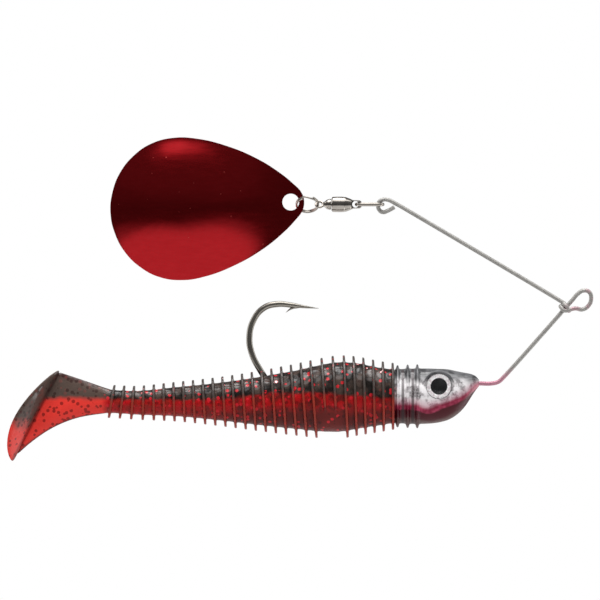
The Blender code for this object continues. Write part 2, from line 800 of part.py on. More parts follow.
def main():
    for old in list(bpy.data.objects):
        bpy.data.objects.remove(old)

    steel = material("stainless_wire", (0.62, 0.61, 0.58), 0.28, 1.0)
    dark_steel = material("black_nickel", (0.16, 0.15, 0.13), 0.2, 1.0)
    nickel = material("bright_nickel", (0.78, 0.75, 0.69), 0.15, 1.0)
    painted = material("head_paint", (0.45, 0.42, 0.42), 0.2, 0.5)
    soft = material("soft_plastic", (0.32, 0.03, 0.03), 0.35, 0.0)
    foil = material("eye_foil", (0.85, 0.84, 0.82), 0.2, 0.9)
    clear = material("clear_resin", (0.95, 0.95, 0.95), 0.05, 0.0, 0.3)
    red = material("candy_red", (0.4, 0.01, 0.02), 0.12, 1.0)

    make_wire_form(steel)
    make_hook(dark_steel)
    make_head(painted)
    for side in (-1, 1):
        make_eye(side, foil, clear)
    make_soft_body(soft)
    make_tail(soft, joint_empty("tail_wag", mm(TAIL_HINGE_X, 0, -24.2)))

    ring_hinge = joint_empty("ring_swing", mm(ARM_EYE_X, 0, SWIVEL_Z))
    make_arm_ring(nickel, ring_hinge)
    barrel_hinge = joint_empty("barrel_pitch", mm(CROSS_HOLE_X, 0, SWIVEL_Z), ring_hinge)
    make_barrel(nickel, barrel_hinge)
    make_balls(steel, joint_empty("ball_roll", mm(BARREL_LEFT_X, 0, SWIVEL_Z), barrel_hinge))
    spin = joint_empty("blade_spin", mm(BARREL_LEFT_X, 0, SWIVEL_Z), barrel_hinge)
    make_spindle(nickel, spin)
    ring_right = split_ring_centre() + Vector((SPLIT_R, 0, 0))
    split_hinge = joint_empty("split_ring_swing", mm(*ring_right), spin)
    make_split_ring(nickel, split_hinge)
    ring_left = split_ring_centre() - Vector((SPLIT_R, 0, 0))
    make_blade(red, joint_empty("blade_swing", mm(*ring_left), split_hinge))


main()
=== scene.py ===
"""A spinnerbait: a cast fish head with a hook and a ribbed soft body on the lower arm of a bent
wire, and a candy-red blade on a ball-bearing swivel at the end of the upper arm."""

import math

import bpy
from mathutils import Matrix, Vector


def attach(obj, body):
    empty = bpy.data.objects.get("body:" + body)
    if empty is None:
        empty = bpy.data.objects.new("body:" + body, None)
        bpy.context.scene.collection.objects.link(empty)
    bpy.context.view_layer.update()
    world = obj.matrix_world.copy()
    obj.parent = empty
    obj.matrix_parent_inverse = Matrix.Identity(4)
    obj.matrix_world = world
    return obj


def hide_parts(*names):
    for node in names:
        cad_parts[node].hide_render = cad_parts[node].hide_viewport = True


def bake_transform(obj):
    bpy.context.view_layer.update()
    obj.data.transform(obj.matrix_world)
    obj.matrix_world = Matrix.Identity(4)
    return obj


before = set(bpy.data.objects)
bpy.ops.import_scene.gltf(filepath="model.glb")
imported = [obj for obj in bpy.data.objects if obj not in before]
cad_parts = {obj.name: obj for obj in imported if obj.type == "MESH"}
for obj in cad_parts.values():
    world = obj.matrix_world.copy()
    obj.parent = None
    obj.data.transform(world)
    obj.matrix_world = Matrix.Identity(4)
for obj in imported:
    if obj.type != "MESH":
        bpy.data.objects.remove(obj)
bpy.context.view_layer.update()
MM = 0.001


# ---------------------------------------------------------------------------------------------
# Camera. A long lens looks straight along +Y from far away, so the lure is seen in true side
# view, with its tail just inside the left edge and the line tie just inside the right one.

VIEW_WIDTH = 0.1428
VIEW_CENTRE = Vector((-0.0671, 0.0, 0.0))
VIEW_DISTANCE = 2.0

bpy.ops.object.select_all(action="DESELECT")
bpy.ops.object.camera_add(
    location=VIEW_CENTRE - Vector((0, VIEW_DISTANCE, 0)), rotation=(math.radians(90), 0, 0)
)
camera = bpy.context.object
camera.data.lens = camera.data.sensor_width * VIEW_DISTANCE / VIEW_WIDTH
camera.data.clip_end = 20.0
bpy.context.scene.camera = camera
bpy.context.scene.view_settings.view_transform = "Standard"


# ---------------------------------------------------------------------------------------------
# Studio. The lure hangs in the air, well above a plain white floor that throws light up. A wide
# soft box and a strip hang over it, cards stand at both sides, and the room in front is dark.

FLOOR_Z = -0.16
FLOOR_SIZE = 2.4

bpy.ops.mesh.primitive_plane_add(size=FLOOR_SIZE, location=(VIEW_CENTRE.x, 0, FLOOR_Z))
floor = bpy.context.object
floor.name = "studio_floor"
floor.visible_glossy = False
floor.visible_diffuse = False
floor.visible_transmission = False
floor.visible_shadow = False
floor_paint = bpy.data.materials.new("floor_paint")
floor_paint.use_nodes = True
floor_paint.node_tree.nodes["Principled BSDF"].inputs["Base Color"].default_value = (0.9, 0.9, 0.9, 1)
floor_paint.node_tree.nodes["Principled BSDF"].inputs["Roughness"].default_value = 0.9
floor.data.materials.append(floor_paint)


class Value:
    """A shader socket that Python's arithmetic is written on, one Math node for each step."""

    def __init__(self, tree, socket):
        self.tree = tree
        self.socket = socket

    def maths(self, operation, *terms, clamp=False):
        """A Math node in this value's tree on these terms, which are values or numbers."""
        step = self.tree.nodes.new("ShaderNodeMath")
        step.operation = operation
        step.use_clamp = clamp
        for slot, term in zip(step.inputs, terms):
            if isinstance(term, Value):
                self.tree.links.new(term.socket, slot)
            else:
                slot.default_value = term
        return Value(self.tree, step.outputs[0])

    def __add__(self, other):
        return self.maths("ADD", self, other)

    def __radd__(self, other):
        return self.maths("ADD", other, self)

    def __sub__(self, other):
        return self.maths("SUBTRACT", self, other)

    def __rsub__(self, other):
        return self.maths("SUBTRACT", other, self)

    def __mul__(self, other):
        return self.maths("MULTIPLY", self, other)

    def __rmul__(self, other):
        return self.maths("MULTIPLY", other, self)

    def __pow__(self, other):
        return self.maths("POWER", self, other)

    def __abs__(self):
        return self.maths("ABSOLUTE", self)

    def ramp(self, start, end):
        """0 up to start and 1 past end, with a straight slope between. start may be above end."""
        return self.maths("MULTIPLY", self - start, 1 / (end - start), clamp=True)

    def rise(self, start, end):
        """A ramp whose slope starts and ends smoothly."""
        share = self.ramp(start, end)
        return share * share * (3 - 2 * share)

    def or_more(self, other):
        """The larger of this value and the other."""
        return self.maths("MAXIMUM", self, other)


class Nodes:
    """Makes the nodes of one shader tree."""

    def __init__(self, tree):
        self.tree = tree

    def add(self, kind, settings=None, output=0, **inputs):
        """A node of this kind. settings are set first, and then its sockets' values or links.

        A socket is given by its name, or by its number after an underscore.
        """
        made = self.tree.nodes.new(kind)
        for name, setting in (settings or {}).items():
            setattr(made, name, setting)
        for name, term in inputs.items():
            slot = made.inputs[int(name[1:]) if name[0] == "_" else name.replace("_", " ")]
            if isinstance(term, Value):
                self.tree.links.new(term.socket, slot)
            else:
                slot.default_value = term
        return Value(self.tree, made.outputs[output])

    def place(self):
        """The piece's own coordinates in millimetres, as x, y and z values."""
        where = self.add("ShaderNodeTexCoord", output="Object")
        parts = self.add("ShaderNodeSeparateXYZ", Vector=where).socket.node
        return [Value(self.tree, part) * (1 / MM) for part in parts.outputs]

    def stretched(self, scale):
        """Object coordinates scaled by these three, for a pattern that runs one way."""
        where = self.add("ShaderNodeTexCoord", output="Object")
        return self.add("ShaderNodeMapping", Vector=where, Scale=scale)

    def noise(self, scale, detail, where=None):
        """Cloudy noise in the piece's own space, or in the space that where gives."""
        where = where or self.add("ShaderNodeTexCoord", output="Object")
        return self.add("ShaderNodeTexNoise", Vector=where, Scale=scale, Detail=detail)

    def cells(self, scale, output="Distance"):
        """Cells in the piece's own space: the distance to a cell's middle, or its colour."""
        where = self.add("ShaderNodeTexCoord", output="Object")
        return self.add("ShaderNodeTexVoronoi", output=output, Vector=where, Scale=scale)

    def mix(self, share, first, second):
        """Two colours mixed, with share from 0 for the first to 1 for the second."""
        node = self.tree.nodes.new("ShaderNodeMix")
        node.data_type = "RGBA"
        for slot, term in ((node.inputs[0], share), (node.inputs[6], first), (node.inputs[7], second)):
            if isinstance(term, Value):
                self.tree.links.new(term.socket, slot)
            else:
                slot.default_value = term if slot == node.inputs[0] else (*term, 1)
        return Value(self.tree, node.outputs[2])


DARK_ROOM = 0.085
FLOOR_GLOW = 0.85
CEILING_GLOW = 0.07
SOFT_BOX_GLOW = 5.0
STRIP_GLOW = 1.7
BACK_WALL_GLOW = 0.8
SIDE_CARD_GLOW = 1.5

world = bpy.data.worlds.new("studio_world")
world.use_nodes = True
bpy.context.scene.world = world
world_tree = world.node_tree
world_tree.nodes.clear()
studio = Nodes(world_tree)
direction = studio.add("ShaderNodeTexCoord", output="Generated")
toward = studio.add("ShaderNodeSeparateXYZ", Vector=direction).socket.node
across, back, up = [Value(world_tree, toward.outputs[i]) for i in range(3)]
glow = (
    DARK_ROOM
    + FLOOR_GLOW * up.rise(-0.19, -0.45)
    + CEILING_GLOW * up.rise(0.0, 0.45)
    + SOFT_BOX_GLOW * up.rise(0.9, 0.97)
    + STRIP_GLOW * up.rise(0.73, 0.79) * up.rise(0.93, 0.87) * back.rise(0.25, -0.1)
    + BACK_WALL_GLOW * back.rise(0.93, 0.99)
    + SIDE_CARD_GLOW * abs(across).rise(0.55, 0.75) * back.rise(-0.1, 0.1) * back.rise(0.75, 0.6)
)
room = studio.add("ShaderNodeBackground", Color=(1, 1, 1, 1), Strength=glow)
plain = studio.add("ShaderNodeBackground", Color=(1, 1, 1, 1), Strength=1.0)
seen_directly = studio.add("ShaderNodeLightPath", output="Is Camera Ray")
sky = studio.add("ShaderNodeMixShader", Fac=seen_directly, _1=room, _2=plain)
world_out = world_tree.nodes.new("ShaderNodeOutputWorld")
world_tree.links.new(sky.socket, world_out.inputs["Surface"])

for name, place, size, power in (
    ("overhead_box", (-0.10, -0.12, 0.5), 0.45, 4.0),
    ("front_card", (0.12, -0.75, 0.12), 0.25, 2.0),
):
    bpy.ops.object.light_add(type="AREA", location=place)
    lamp = bpy.context.object
    lamp.name = name
    lamp.visible_glossy = False
    lamp.data.size = size
    lamp.data.energy = power
    lamp.rotation_euler = (VIEW_CENTRE - Vector(place)).to_track_quat("-Z", "Y").to_euler()


# ---------------------------------------------------------------------------------------------
# Wire form. One length of 1 mm stainless spring wire: cast into the head, bent up to the line
# tie, wrapped once round itself there, and led back to the open loop at the upper arm's end.

WIRE_R = 0.5
ARM_RISE_DEG = 48.5
WRAP_DEG, WRAP_STEPS = 440, 17
WRAP_FROM, WRAP_LENGTH = -1.25, 1.35
ARM_LOOP_X = -48.5


def bent_wire(points, radius, thickness=None, closed=False, sides=5, steps=8):
    """A round wire on a smooth curve through these points, in millimetres, as a mesh."""
    bpy.ops.object.select_all(action="DESELECT")
    bpy.ops.curve.primitive_bezier_curve_add(location=(0, 0, 0))
    wire = bpy.context.object
    spline = wire.data.splines[0]
    spline.bezier_points.add(len(points) - len(spline.bezier_points))
    spline.use_cyclic_u = closed
    for i, (knot, place) in enumerate(zip(spline.bezier_points, points)):
        knot.co = Vector(place) * MM
        knot.handle_left_type = "AUTO"
        knot.handle_right_type = "AUTO"
        knot.radius = thickness[i] if thickness else 1.0
    wire.data.dimensions = "3D"
    wire.data.resolution_u = steps
    wire.data.bevel_depth = radius * MM
    wire.data.bevel_resolution = sides
    wire.data.use_fill_caps = not closed
    bpy.ops.object.convert(target="MESH")
    return bpy.context.object


def settle(piece, name, finish, body, slot, *nodes, sharp=40):
    """Names a finished piece, shades it smooth, sets its finish, and puts it on its body."""
    if bpy.context.mode != "OBJECT":
        bpy.ops.object.mode_set(mode="OBJECT")
    bpy.ops.object.select_all(action="DESELECT")
    piece.select_set(True)
    bpy.context.view_layer.objects.active = piece
    bpy.ops.object.transform_apply(location=True, rotation=True, scale=True)
    bpy.ops.object.shade_smooth_by_angle(angle=math.radians(sharp))
    piece.name = name
    piece.data.name = name
    piece.data.materials.clear()
    piece.data.materials.append(finish)
    if body:
        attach(piece, body)
    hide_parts(*nodes)
    return piece


def new_finish(name, **sockets):
    """A material whose even values are set here. Returns it, its nodes and its shader."""
    finish = bpy.data.materials.new(name)
    finish.use_nodes = True
    shader = finish.node_tree.nodes["Principled BSDF"]
    for socket, even in sockets.items():
        shader.inputs[socket.replace("_", " ")].default_value = even
    return finish, Nodes(finish.node_tree), shader


def lead(shader, nodes, **varying):
    """Links what changes over the surface to the shader's sockets."""
    for socket, term in varying.items():
        nodes.tree.links.new(term.socket, shader.inputs[socket.replace("_", " ")])


def spring_wire_finish():
    """Drawn stainless wire, satin from the die, with a blush of the head's paint near the nose."""
    finish, nodes, shader = new_finish("spring_wire", Metallic=0.5, Specular_IOR_Level=0.4)
    x, _, z = nodes.place()
    marks = nodes.noise(900, detail=3)
    worn = nodes.noise(260, detail=2)
    steel = nodes.mix(marks.rise(0.3, 0.7), (0.33, 0.32, 0.305), (0.38, 0.37, 0.35))
    near_nose = z.rise(-15.5, -19.4) * x.rise(-2.0, -8.0)
    tie_blush = 0.45 * x.rise(-6.5, -4.0) * worn.rise(0.48, 0.62)
    blush = nodes.mix(marks, (0.40, 0.13, 0.20), (0.56, 0.24, 0.32))
    tint = (near_nose * 0.85).or_more(tie_blush)
    lead(shader, nodes, Base_Color=nodes.mix(tint, steel, blush), Roughness=0.46 + 0.08 * worn)
    return finish


wire_leg = [
    (-33.8, -1.9, -20.0),
    (-33.8, 0.9, -20.0),
    (-33.3, 1.75, -20.0),
    (-31.6, 1.75, -20.0),
    (-30.2, 0.6, -19.85),
    (-28.6, 0.0, -19.85),
]
wire_bend = [(-24.5, 0, -19.85), (-21.35, 0, -19.85), (-19.95, 0, -19.5), (-19.1, 0, -18.85)]
arm_rise = math.radians(ARM_RISE_DEG)
tie_start = Vector((-3.6, 0, -1.5))
along_arm = Vector((math.cos(arm_rise), 0, math.sin(arm_rise)))
outside = Vector((-along_arm.z, 0, along_arm.x))
line_tie = [
    (-2.1, 0, 0.2),
    (-1.1, 0, 1.35),
    (0.4, 0, 2.25),
    (1.75, 0, 1.85),
    (2.2, 0, 0.4),
    (1.6, -0.1, -1.3),
    (0.1, -0.3, -2.25),
    (-1.5, -0.7, -2.0),
]
wrap_r = 2 * WIRE_R + 0.1
line_wrap = []
for i in range(WRAP_STEPS + 1):
    phase = math.radians(WRAP_DEG) * i / WRAP_STEPS
    round_arm = wrap_r * (math.cos(phase) * Vector((0, -1, 0)) + math.sin(phase) * outside)
    along_wrap = along_arm * (WRAP_FROM + WRAP_LENGTH * i / WRAP_STEPS)
    line_wrap.append(tie_start + along_wrap + round_arm)
arm_loop = [
    (-42.9, 0, 22.15),
    (-44.6, 0, 23.1),
    (-45.9, 0, 23.75),
    (-47.3, 0, 23.9),
    (-48.3, 0, 23.3),
    (ARM_LOOP_X, 0, 22.4),
    (-48.2, 0, 21.4),
    (-47.3, 0, 20.9),
    (-46.3, 0, 21.2),
    (-44.6, 0, 22.1),
]
wire = bent_wire(wire_leg + wire_bend + line_tie + line_wrap + arm_loop, WIRE_R, sides=6)
settle(wire, "bent_wire_form", spring_wire_finish(), "lure", "spring_wire", "wire_form")


# ---------------------------------------------------------------------------------------------
# Head. A lead fish head cast round the hook and the wire's end, with three collar ridges behind
# it, then airbrushed: grey back, silver-flake cheeks, wine-red chin, and a thick clear coat.
# Painted shade darkens a band under the jaw and the grooves between the ridges.


def ring_run(rings, sides):
    """A skin grown ring by ring along X. A ring is x, z, half width, half height and tilt."""
    x, z, half_w, half_h, tilt = rings[0]
    bpy.ops.object.select_all(action="DESELECT")
    bpy.ops.mesh.primitive_circle_add(vertices=sides, radius=MM, rotation=(0, math.radians(90), 0))
    bpy.ops.object.transform_apply(location=True, rotation=True, scale=True)
    piece = bpy.context.object
    bpy.ops.object.mode_set(mode="EDIT")
    bpy.ops.mesh.select_all(action="SELECT")
    bpy.ops.transform.resize(value=(1, half_w, half_h), center_override=(0, 0, 0))
    bpy.ops.transform.rotate(value=-tilt, orient_axis="Y", center_override=(0, 0, 0))
    bpy.ops.transform.translate(value=(x * MM, 0, z * MM))
    bpy.ops.mesh.edge_face_add()
    before = rings[0]
    for ring in rings[1:]:
        x, z, half_w, half_h, tilt = ring
        here = (x * MM, 0, z * MM)
        step = ((x - before[0]) * MM, 0, (z - before[1]) * MM)
        bpy.ops.mesh.extrude_region_move(TRANSFORM_OT_translate={"value": step})
        if before[4]:
            bpy.ops.transform.rotate(value=before[4], orient_axis="Y", center_override=here)
        bpy.ops.transform.resize(
            value=(1, half_w / before[2], half_h / before[3]), center_override=here
        )
        if tilt:
            bpy.ops.transform.rotate(value=-tilt, orient_axis="Y", center_override=here)
        before = ring
    bpy.ops.mesh.select_all(action="SELECT")
    bpy.ops.mesh.normals_make_consistent(inside=False)
    bpy.ops.object.mode_set(mode="OBJECT")
    return piece


def between(x, stations):
    """The values that stations, {x: values}, give at x along a smooth curve through them."""
    xs = sorted(stations)
    x = min(max(x, xs[0]), xs[-1])
    i = max(k for k in range(len(xs) - 1) if xs[k] <= x)
    t = (x - xs[i]) / (xs[i + 1] - xs[i])
    a, b, c, d = [
        Vector(stations[xs[min(max(i + k, 0), len(xs) - 1)]]) for k in (-1, 0, 1, 2)
    ]
    bend = (2 * a - 5 * b + 4 * c - d) * t + (3 * b - a - 3 * c + d) * t * t
    return b + ((c - a) + bend) * t / 2


def apply_step(piece, kind, **settings):
    """Adds a modifier with these settings to the piece and applies it."""
    bpy.ops.object.select_all(action="DESELECT")
    piece.select_set(True)
    bpy.context.view_layer.objects.active = piece
    step = piece.modifiers.new(kind.title(), kind)
    for name, setting in settings.items():
        setattr(step, name, setting)
    bpy.ops.object.modifier_apply(modifier=step.name)
    return piece


def carve(piece, tool, operation="DIFFERENCE"):
    """Cuts the tool's shape out of the piece, or joins it on, and throws the tool away."""
    apply_step(piece, "BOOLEAN", operation=operation, object=tool, solver="EXACT")
    bpy.data.objects.remove(tool)
    return piece


def rounded(piece, levels):
    """Smooths the piece's rings into a curved skin."""
    return apply_step(piece, "SUBSURF", levels=levels, render_levels=levels)


def rod(start, end, radius, sides=48):
    """A plain cylinder between two points in millimetres, for drilling or joining."""
    start, end = Vector(start) * MM, Vector(end) * MM
    bpy.ops.object.select_all(action="DESELECT")
    bpy.ops.mesh.primitive_cylinder_add(
        vertices=sides,
        radius=radius * MM,
        depth=(end - start).length,
        location=(start + end) / 2,
        rotation=(end - start).to_track_quat("Z", "Y").to_euler(),
    )
    bpy.ops.object.transform_apply(location=True, rotation=True, scale=True)
    return bpy.context.object


head_shape = {  # x: middle height, half width, half height
    -44.65: (-22.9, 5.4, 6.4),
    -42.4: (-22.9, 5.55, 6.55),
    -39.0: (-22.9, 5.65, 6.65),
    -36.0: (-22.85, 5.6, 6.6),
    -33.8: (-22.75, 5.4, 6.4),
    -31.7: (-22.5, 5.0, 6.05),
    -30.2: (-22.25, 4.6, 5.45),
    -28.8: (-21.8, 4.1, 4.7),
    -27.4: (-21.1, 3.4, 3.75),
    -26.0: (-20.1, 2.4, 2.45),
    -25.2: (-19.75, 1.65, 1.65),
    -24.5: (-19.75, 0.8, 0.8),
}
HEAD_REAR_X = -44.65
collar_ridges = (-43.9, -41.5, -39.2)
RIDGE_HALF_PITCH = 1.18
ridge_section = (  # along from a ridge's crest, and out from the head
    (-0.62, 0.0),
    (-0.4, 0.2),
    (-0.27, 0.9),
    (0.0, 1.1),
    (0.27, 0.9),
    (0.4, 0.2),
    (0.62, 0.0),
)


def head_ring(x, proud=0.0):
    """The head's ring at x, this much larger than the head all round."""
    z, half_w, half_h = between(x, head_shape)
    return (x, z, half_w + proud, half_h + proud, 0.0)


rings = [head_ring(HEAD_REAR_X), head_ring(HEAD_REAR_X + 0.05)]
for ridge_x in collar_ridges:
    rings += [head_ring(ridge_x + shift, proud) for shift, proud in ridge_section]
rings += [head_ring(-38.0 + 0.9 * i) for i in range(14)]
rings += [head_ring(-25.3), head_ring(-24.9), head_ring(-24.55), head_ring(-24.5)]
head = rounded(ring_run(rings, 32), 2)

EYE_X, EYE_Z = -34.1, -20.5
EYE_R = 3.0
EYE_SEAT_Y = 4.0
SEAT_GAP = 0.08
RIM_R, RIM_Y = 3.75, 4.7
for side in (-1, 1):  # a raised rim round each eye, and the flat seat sunk in it
    rim = rod((EYE_X, side * 2.2, EYE_Z), (EYE_X, side * RIM_Y, EYE_Z), RIM_R, 64)
    apply_step(rim, "BEVEL", width=0.3 * MM, segments=4, limit_method="ANGLE")
    carve(head, rim, "UNION")
    seat = rod((EYE_X, side * EYE_SEAT_Y, EYE_Z), (EYE_X, side * 8, EYE_Z), EYE_R + SEAT_GAP, 64)
    carve(head, seat)

SHANK_Z = -22.3
keeper_profile = [
    (-44.0, 2.0),
    (-50.2, 2.0),
    (-50.2, 2.9),
    (-53.2, 2.0),
    (-53.2, 2.9),
    (-56.0, 1.4),
]
keeper = ring_run([(x, SHANK_Z, r, r, 0.0) for x, r in keeper_profile], 24)
carve(head, keeper, "UNION")


def head_paint_finish():
    """Airbrushed fish colours over bare lead under a thick clear coat, plus painted shade under the
    jaw and in the ridge grooves.
    """
    finish, nodes, shader = new_finish(
        "head_paint", Coat_Roughness=0.05, Coat_IOR=1.5, Specular_IOR_Level=0.15
    )
    x, _, z = nodes.place()
    drift = nodes.noise(180, detail=3) - 0.5
    blotch = nodes.noise(520, detail=3)
    flake = nodes.cells(2600.0)
    twinkle = nodes.add("ShaderNodeSeparateColor", Color=nodes.cells(2600.0, "Color"))
    jaw = -25.9 + 5.7 * x.ramp(-38.0, -25.0) ** 2.0 + 0.9 * x.rise(-36.0, -41.0)
    below = z - jaw + drift * 1.8
    dull = nodes.mix(twinkle, (0.14, 0.13, 0.135), (0.60, 0.57, 0.58))
    silver = nodes.mix(blotch.rise(0.40, 0.58), dull, (0.95, 0.92, 0.93))
    pinkish = nodes.mix(below.rise(2.4, 0.4) * 0.6, silver, (0.50, 0.20, 0.27))
    wine = nodes.mix(blotch.rise(0.35, 0.65), (0.20, 0.010, 0.036), (0.42, 0.05, 0.11))
    side = nodes.mix(below.rise(0.9, -0.2), pinkish, wine)
    # painted shade: a dark band under the jaw, below the wine-red paint
    jaw_shade = nodes.mix(below.rise(-0.7, -1.2), side, (0.060, 0.003, 0.008))
    belly = nodes.mix(below.rise(-2.5, -3.3), jaw_shade, (0.10, 0.050, 0.047))
    back = z + drift * 2.4 + 0.05 * (x + 34.0)
    grey = nodes.mix(blotch.rise(0.4, 0.6), (0.035, 0.035, 0.037), (0.10, 0.10, 0.105))
    painted = nodes.mix(back.rise(-20.4, -18.2), belly, grey)
    from_ridge = nodes.add(
        "ShaderNodeMath", {"operation": "PINGPONG"}, _0=x - collar_ridges[1], _1=RIDGE_HALF_PITCH
    )
    # painted shade darkening the grooves between the collar ridges
    ridge_groove_shade = from_ridge.rise(0.7, 1.0) * x.rise(-38.2, -38.6)
    painted = nodes.mix(ridge_groove_shade * 0.75, painted, (0.03, 0.018, 0.02))
    lead(
        shader,
        nodes,
        Base_Color=painted,
        Metallic=0.35 * below.rise(-0.8, 0.6) * back.rise(-17.6, -19.0),
        Coat_Weight=0.12 + 0.78 * z.rise(-24.0, -20.0),
        Roughness=0.28 + 0.2 * flake.rise(0.2, 0.8),
        Normal=nodes.add("ShaderNodeBump", Height=twinkle, Strength=0.25, Distance=0.00003),
    )
    return finish


settle(head, "cast_head", head_paint_finish(), "lure", "head_paint", "head", sharp=30)


# ---------------------------------------------------------------------------------------------
# Eyes. On each side a disc of silver foil, printed with a black pupil, lies in the socket under
# a clear domed sticker of cast resin.

FOIL_T = 0.23
PUPIL_R = 1.9
LENS_H = 1.18


def eye_foil_finish():
    """Crinkled silver foil with a printed pupil and a thin dark outline, and a faint painted glow in
    its own colours.
    """
    finish, nodes, shader = new_finish("eye_foil", Specular_IOR_Level=0.1, Emission_Strength=0.22)
    x, _, z = nodes.place()
    across_eye = x - EYE_X
    up_eye = z - EYE_Z
    radius = (across_eye * across_eye + up_eye * up_eye) ** 0.5
    facet = nodes.add("ShaderNodeSeparateColor", Color=nodes.cells(2000.0, "Color"))
    silver = nodes.mix(facet, (0.62, 0.56, 0.58), (1.0, 0.99, 0.99))
    rim = radius.rise(2.72, 2.92)
    ringed = nodes.mix(rim, silver, (0.05, 0.05, 0.055))
    pupil = radius.rise(PUPIL_R + 0.06, PUPIL_R - 0.06)
    printed = nodes.mix(pupil, ringed, (0.006, 0.006, 0.007))
    # painted light: the foil's emission makes it glow in its printed colours, to brighten it under the
    # lens
    lead(
        shader,
        nodes,
        Base_Color=printed,
        Emission_Color=printed,
        Metallic=0.12 - 0.12 * pupil,
        Roughness=0.3 + 0.2 * facet,
    )
    return finish


def resin_finish():
    """Clear cast resin."""
    return new_finish(
        "clear_resin",
        Base_Color=(1, 1, 1, 1),
        Roughness=0.02,
        IOR=1.45,
        Transmission_Weight=1.0,
    )[0]


foil_finish = eye_foil_finish()
lens_finish = resin_finish()
for side, hand in ((-1, "left"), (1, "right")):
    seat_y = side * (EYE_SEAT_Y + 0.02)
    foil = rod((EYE_X, seat_y, EYE_Z), (EYE_X, seat_y + side * FOIL_T, EYE_Z), EYE_R, 64)
    apply_step(foil, "BEVEL", width=0.05 * MM, segments=2, limit_method="ANGLE")
    settle(foil, f"foil_disc_{hand}", foil_finish, "lure", "eye_foil", f"eye_foil_{hand}")
    base_y = side * (EYE_SEAT_Y + 0.05 + FOIL_T)
    bpy.ops.object.select_all(action="DESELECT")
    bpy.ops.mesh.primitive_uv_sphere_add(
        segments=64, ring_count=32, radius=MM, location=(EYE_X * MM, base_y * MM, EYE_Z * MM)
    )
    lens = bpy.context.object
    lens.scale = (EYE_R, LENS_H, EYE_R)
    bpy.ops.object.transform_apply(location=True, rotation=True, scale=True)
    bpy.ops.object.mode_set(mode="EDIT")
    bpy.ops.mesh.select_all(action="SELECT")
    bpy.ops.mesh.bisect(
        plane_co=(0, base_y * MM, 0), plane_no=(0, side, 0), use_fill=True, clear_inner=True
    )
    bpy.ops.mesh.select_all(action="SELECT")
    bpy.ops.mesh.normals_make_consistent(inside=False)
    settle(lens, f"domed_lens_{hand}", lens_finish, "lure", "clear_resin", f"eye_lens_{hand}")


# ---------------------------------------------------------------------------------------------
# Hook. A forged jig hook of 1.5 mm wire in black nickel, with its eye and the front of its shank
# inside the head, the shank threaded through the soft body and the bend out over its back.

HOOK_R = 0.75
HOOK_EYE_X, HOOK_EYE_Z, HOOK_EYE_R = -33.8, -20.0, 1.5
hook_eye = []
for i in range(13):
    turn = math.radians(180 - 270 * i / 12)
    hook_eye.append(
        (HOOK_EYE_X + HOOK_EYE_R * math.cos(turn), 0, HOOK_EYE_Z + HOOK_EYE_R * math.sin(turn))
    )
shank = [(-36.6, 0, -22.15), (-38.4, 0, SHANK_Z), (-50, 0, SHANK_Z), (-60, 0, SHANK_Z)]
hook_bend = [
    (-66.0, 0, -22.3),
    (-70.0, 0, -22.05),
    (-73.8, 0, -20.25),
    (-76.8, 0, -16.3),
    (-78.6, 0, -12.6),
    (-79.15, 0, -9.0),
    (-78.2, 0, -4.9),
    (-75.7, 0, -1.9),
    (-72.6, 0, -1.0),
    (-69.3, 0, -1.2),
    (-65.8, 0, -1.65),
    (-62.6, 0, -2.0),
]
hook_path = hook_eye + shank + hook_bend
point_taper = [0.86, 0.45, 0.06]
thickness = [1.0] * (len(hook_path) - len(point_taper)) + point_taper
hook = bent_wire(hook_path, HOOK_R, thickness, sides=7)
barb = bent_wire(
    [(-67.4, 0, -1.6), (-69.2, 0, -2.05), (-70.5, 0, -3.0)], 0.34, [1.0, 0.75, 0.1], sides=4
)
carve(hook, barb, "UNION")


def black_nickel_finish():
    """Smoky polished plating with faint die marks along the wire."""
    finish, nodes, shader = new_finish("black_nickel", Metallic=0.9, Coat_Weight=0.2)
    cloud = nodes.noise(300, detail=3)
    lead(
        shader,
        nodes,
        Base_Color=nodes.mix(cloud, (0.22, 0.205, 0.18), (0.42, 0.39, 0.34)),
        Roughness=0.1 + 0.14 * cloud,
        Normal=nodes.add("ShaderNodeBump", Height=cloud, Strength=0.08, Distance=0.0001),
    )
    return finish


settle(hook, "forged_hook", black_nickel_finish(), "lure", "black_nickel", "hook")


# ---------------------------------------------------------------------------------------------
# Soft body and tail. One pour of soft plastic in two colours, smoke over a red belly with
# glitter in both, ribbed like a concertina, and ending in a thin web and a swept paddle.

body_shape = {  # x: middle height, half width, half height, height of the ribs
    -114.0: (-24.1, 2.3, 2.85, 1.1),
    -111.0: (-24.2, 2.4, 2.75, 1.2),
    -105.7: (-24.45, 2.6, 2.85, 1.2),
    -96.2: (-24.2, 3.1, 3.5, 1.25),
    -86.7: (-24.2, 3.9, 4.45, 1.35),
    -77.1: (-24.1, 4.9, 5.7, 1.45),
    -67.6: (-23.8, 5.8, 7.0, 1.6),
    -62.9: (-23.5, 6.2, 7.8, 1.6),
    -58.1: (-23.1, 6.4, 8.3, 1.6),
    -53.3: (-22.8, 6.2, 7.8, 1.6),
    -48.1: (-22.95, 5.8, 6.9, 1.6),
    -45.0: (-22.9, 5.4, 6.45, 1.5),
}
RIBS = 29
RIB_TOP_X, RIB_PITCH = -111.2, 2.3275
WIDE_FROM, WIDE_TO, WIDER_BY = 20, 23, 0.32
rib_rakes = {
    0: (-1.4, 0),
    4: (0.0, 0),
    10: (0.7, 0),
    16: (1.15, 0),
    20: (1.5, 0),
    23: (0.95, 0),
    28: (0.1, 0),
}
bare_belly_ribs = (21, 22)


